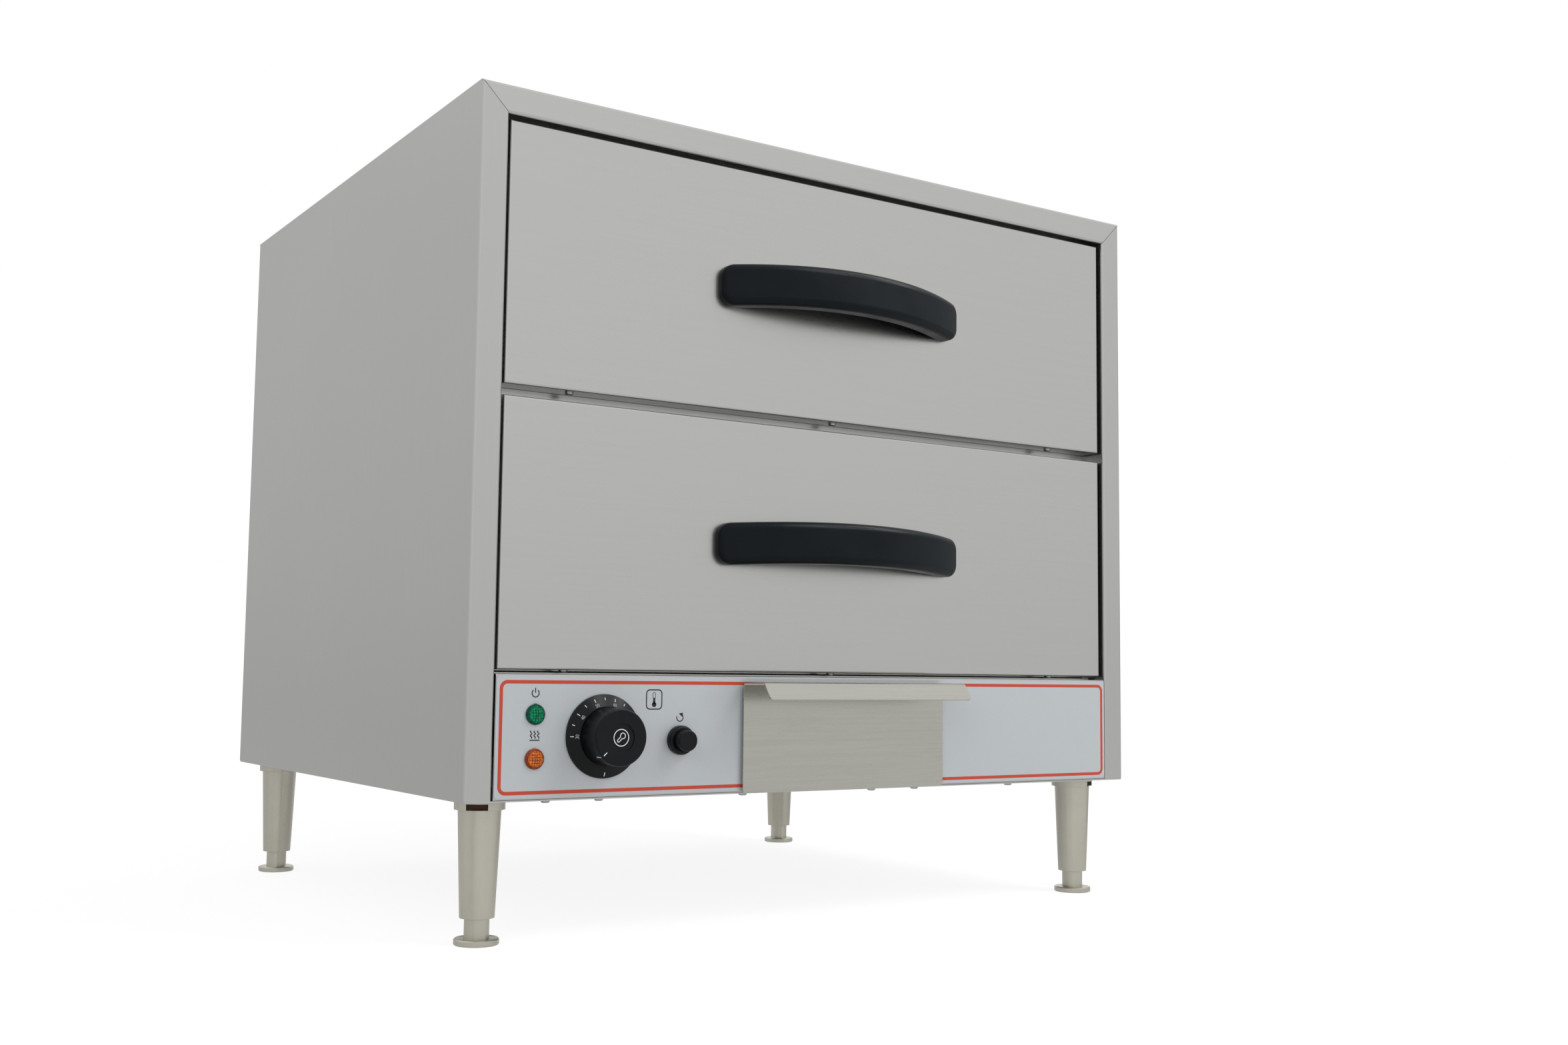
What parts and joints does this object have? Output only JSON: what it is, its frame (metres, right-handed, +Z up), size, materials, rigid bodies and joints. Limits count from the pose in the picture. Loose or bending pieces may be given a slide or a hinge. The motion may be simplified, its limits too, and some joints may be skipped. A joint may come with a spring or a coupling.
{
  "type": "countertop warming drawer",
  "caption": "Countertop food warmer: insulated steel cabinet with pan drawers on telescopic slides, a thermostat knob, reset button, pull-out water tray and levelling legs.",
  "frame": {"origin": "middle of the floor under the whole object", "axes": "+X to the right seen from the front, +Y to the back, +Z up"},
  "size_m": [0.7, 0.6704, 0.675],
  "materials": {
    "outer_steel": "fine brushed stainless",
    "front_steel": "fine brushed stainless",
    "inner_steel": "mill finish stainless",
    "pan_steel": "bright pressed stainless",
    "zinc_steel": "zinc plated",
    "screw_steel": "nickel plated",
    "element_steel": "heat-darkened",
    "leg_metal": "satin nickel",
    "handle_plastic": "fine matt",
    "knob_plastic": "semi-gloss",
    "printed_film": "satin printed film",
    "green_lens": "faceted lens",
    "amber_lens": "faceted lens",
    "control_plastic": "moulded",
    "capillary_copper": "drawn tube",
    "mineral_wool": "loose fibre"
  },
  "bodies": {
    "cabinet": {"amber_lamp": "amber_lens", "back_panel": "outer_steel", "bottom_panel": "outer_steel", "cabinet_screws": "screw_steel", "cable_gland": "control_plastic", "control_panel": "outer_steel", "deck_plate": "inner_steel", "dial_bezel": "knob_plastic", "element_straps": "inner_steel", "green_lamp": "green_lens", "insulation_blankets": "mineral_wool", "left_side_panel": "outer_steel", "leg_front_left": "leg_metal", "leg_front_right": "leg_metal", "leg_nuts": "zinc_steel", "leg_rear_left": "leg_metal", "leg_rear_right": "leg_metal", "limiter_body": "control_plastic", "liner_wrap": "inner_steel", "lower_heating_element": "element_steel", "lower_rail": "front_steel", "lower_slide_rails": "zinc_steel", "middle_rail": "front_steel", "panel_overlay": "printed_film", "rear_liner": "inner_steel", "reset_ring": "knob_plastic", "right_side_panel": "outer_steel", "terminal_block": "control_plastic", "thermostat_body": "control_plastic", "thermostat_bulb": "capillary_copper", "top_panel": "outer_steel", "tray_guides": "inner_steel", "upper_heating_element": "element_steel", "upper_slide_rails": "zinc_steel"},
    "upper_drawer": {"upper_drawer_front": "front_steel", "upper_front_liner": "inner_steel", "upper_handle": "handle_plastic", "upper_drawer_screws": "screw_steel", "upper_pan_carrier": "inner_steel", "upper_pan": "pan_steel", "upper_drawer_runners": "zinc_steel"},
    "upper_slides": {"upper_slide_middles": "zinc_steel"},
    "lower_drawer": {"lower_drawer_front": "front_steel", "lower_front_liner": "inner_steel", "lower_handle": "handle_plastic", "lower_drawer_screws": "screw_steel", "lower_pan_carrier": "inner_steel", "lower_pan": "pan_steel", "lower_drawer_runners": "zinc_steel"},
    "lower_slides": {"lower_slide_middles": "zinc_steel"},
    "water_tray": {"tray_front": "front_steel", "tray_pan": "front_steel"},
    "knob": {"thermostat_knob": "knob_plastic", "thermostat_spindle": "zinc_steel"},
    "reset": {"reset_button": "knob_plastic"},
    "foot_front_left": {"foot_front_left": "leg_metal"},
    "foot_front_right": {"foot_front_right": "leg_metal"},
    "foot_rear_left": {"foot_rear_left": "leg_metal"},
    "foot_rear_right": {"foot_rear_right": "leg_metal"}
  },
  "joints": [
    {"name": "upper_drawer_slide", "type": "slide", "parent": "cabinet", "child": "upper_drawer", "axis": [0, -1, 0], "range_m": [0, 0.4]},
    {"name": "upper_slide_extension", "type": "slide", "parent": "cabinet", "child": "upper_slides", "axis": [0, -1, 0], "range_m": [0, 0.2]},
    {"name": "lower_drawer_slide", "type": "slide", "parent": "cabinet", "child": "lower_drawer", "axis": [0, -1, 0], "range_m": [0, 0.4]},
    {"name": "lower_slide_extension", "type": "slide", "parent": "cabinet", "child": "lower_slides", "axis": [0, -1, 0], "range_m": [0, 0.2]},
    {"name": "water_tray_slide", "type": "slide", "parent": "cabinet", "child": "water_tray", "axis": [0, -1, 0], "range_m": [0, 0.24]},
    {"name": "thermostat_turn", "type": "hinge", "parent": "cabinet", "child": "knob", "pos_m": [-0.2323, -0.29077, 0.1613], "axis": [0, 1, 0], "range_deg": [-49, 253.4]},
    {"name": "reset_press", "type": "slide", "parent": "cabinet", "child": "reset", "axis": [0, 1, 0], "range_m": [0, 0.003], "stiffness_N_per_m": 700, "springref_m": -0.001},
    {"name": "foot_front_left_height", "type": "slide", "parent": "cabinet", "child": "foot_front_left", "axis": [0, 0, 1], "range_m": [-0.012, 0.015]},
    {"name": "foot_front_right_height", "type": "slide", "parent": "cabinet", "child": "foot_front_right", "axis": [0, 0, 1], "range_m": [-0.012, 0.015]},
    {"name": "foot_rear_left_height", "type": "slide", "parent": "cabinet", "child": "foot_rear_left", "axis": [0, 0, 1], "range_m": [-0.012, 0.015]},
    {"name": "foot_rear_right_height", "type": "slide", "parent": "cabinet", "child": "foot_rear_right", "axis": [0, 0, 1], "range_m": [-0.012, 0.015]}
  ],
  "couplings": [
    {"joint": "upper_slide_extension", "follows": "upper_drawer_slide", "ratio": 0.5},
    {"joint": "lower_slide_extension", "follows": "lower_drawer_slide", "ratio": 0.5}
  ]
}
